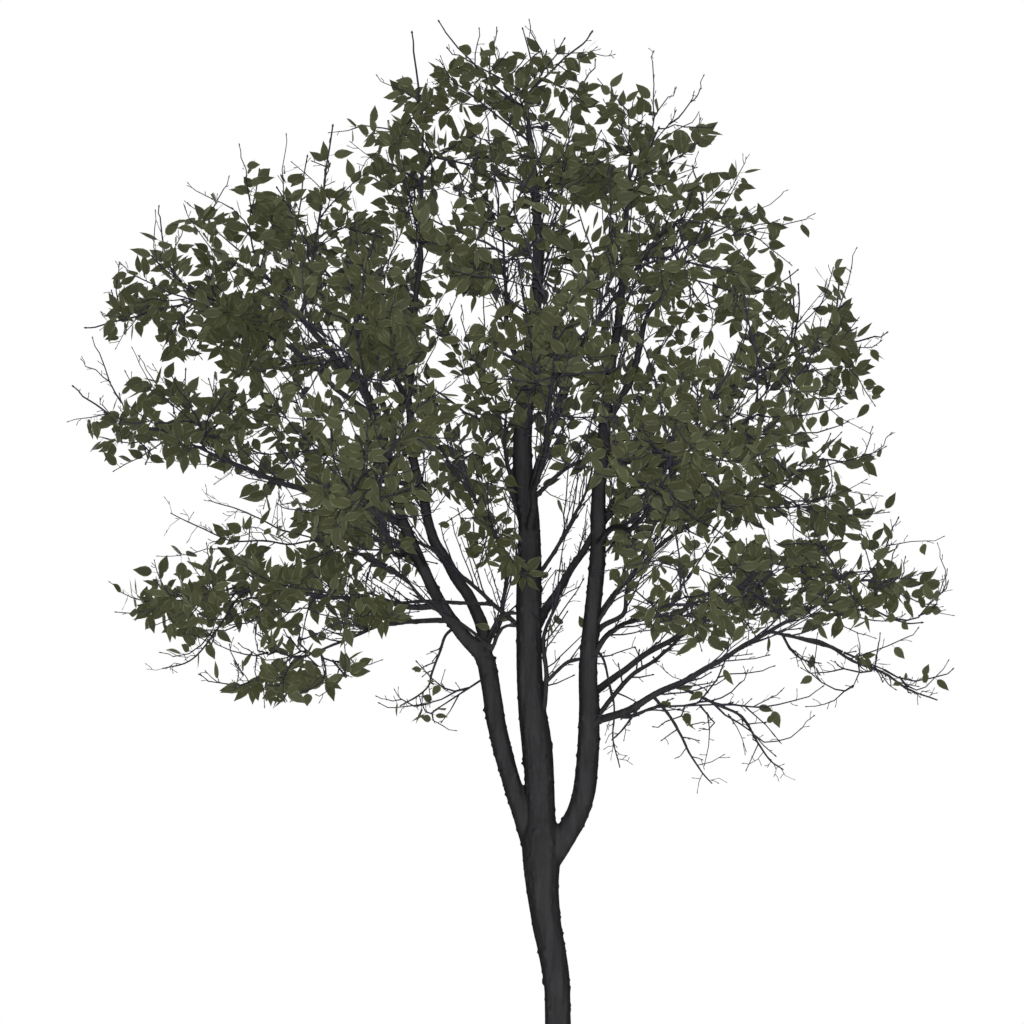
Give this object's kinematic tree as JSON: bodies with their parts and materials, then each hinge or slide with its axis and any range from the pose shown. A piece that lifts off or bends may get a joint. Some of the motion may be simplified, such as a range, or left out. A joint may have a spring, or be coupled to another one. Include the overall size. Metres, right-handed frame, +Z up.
{
  "type": "poplar tree",
  "caption": "Young open-grown poplar with a short leaning trunk that forks into upright stems, spreading boughs and a broad airy crown of large leaves, standing rooted on its flat cut.",
  "frame": {"origin": "middle of the flat cut under the trunk, at ground level", "axes": "+Z up, the height of the tree; +X to the right and +Y to the back of the side on which the trunk's forks are seen spread out"},
  "size_m": [8.6781, 7.163, 10.4594],
  "materials": {
    "poplar_bark": "rough dark grey bark",
    "poplar_leaf": "olive green leaves on dark twigs"
  },
  "bodies": {
    "root": {"bough_back": "poplar_bark", "bough_front_centre": "poplar_bark", "bough_front_left": "poplar_bark", "bough_front_right": "poplar_bark", "bough_left_back": "poplar_bark", "bough_left_tip": "poplar_bark", "bough_low_left": "poplar_bark", "bough_low_left_inner": "poplar_bark", "bough_low_left_under": "poplar_bark", "bough_low_right": "poplar_bark", "bough_low_right_front": "poplar_bark", "bough_low_right_tip": "poplar_bark", "bough_right_back": "poplar_bark", "bough_right_front": "poplar_bark", "bough_right_mid": "poplar_bark", "bough_right_tip": "poplar_bark", "bough_top_back": "poplar_bark", "bough_top_front": "poplar_bark", "bough_top_left": "poplar_bark", "bough_under_right": "poplar_bark", "bough_under_right_tip": "poplar_bark", "bough_upper_left_back": "poplar_bark", "bough_upper_left_front": "poplar_bark", "bough_upper_left_tip": "poplar_bark", "bough_upper_right": "poplar_bark", "bough_upper_right_front": "poplar_bark", "centre_stem": "poplar_bark", "foliage_back": "poplar_leaf", "foliage_front_centre": "poplar_leaf", "foliage_front_left": "poplar_leaf", "foliage_front_right": "poplar_leaf", "foliage_left_back": "poplar_leaf", "foliage_left_tip": "poplar_leaf", "foliage_low_left": "poplar_leaf", "foliage_low_left_inner": "poplar_leaf", "foliage_low_left_under": "poplar_leaf", "foliage_low_right": "poplar_leaf", "foliage_low_right_front": "poplar_leaf", "foliage_low_right_tip": "poplar_leaf", "foliage_right_back": "poplar_leaf", "foliage_right_front": "poplar_leaf", "foliage_right_mid": "poplar_leaf", "foliage_right_tip": "poplar_leaf", "foliage_top_back": "poplar_leaf", "foliage_top_centre": "poplar_leaf", "foliage_top_front": "poplar_leaf", "foliage_top_left": "poplar_leaf", "foliage_top_right": "poplar_leaf", "foliage_under_left": "poplar_leaf", "foliage_under_right": "poplar_leaf", "foliage_under_right_tip": "poplar_leaf", "foliage_upper_left": "poplar_leaf", "foliage_upper_left_back": "poplar_leaf", "foliage_upper_left_front": "poplar_leaf", "foliage_upper_left_tip": "poplar_leaf", "foliage_upper_right": "poplar_leaf", "foliage_upper_right_front": "poplar_leaf", "left_stem": "poplar_bark", "right_stem": "poplar_bark", "trunk": "poplar_bark"}
  },
  "joints": []
}
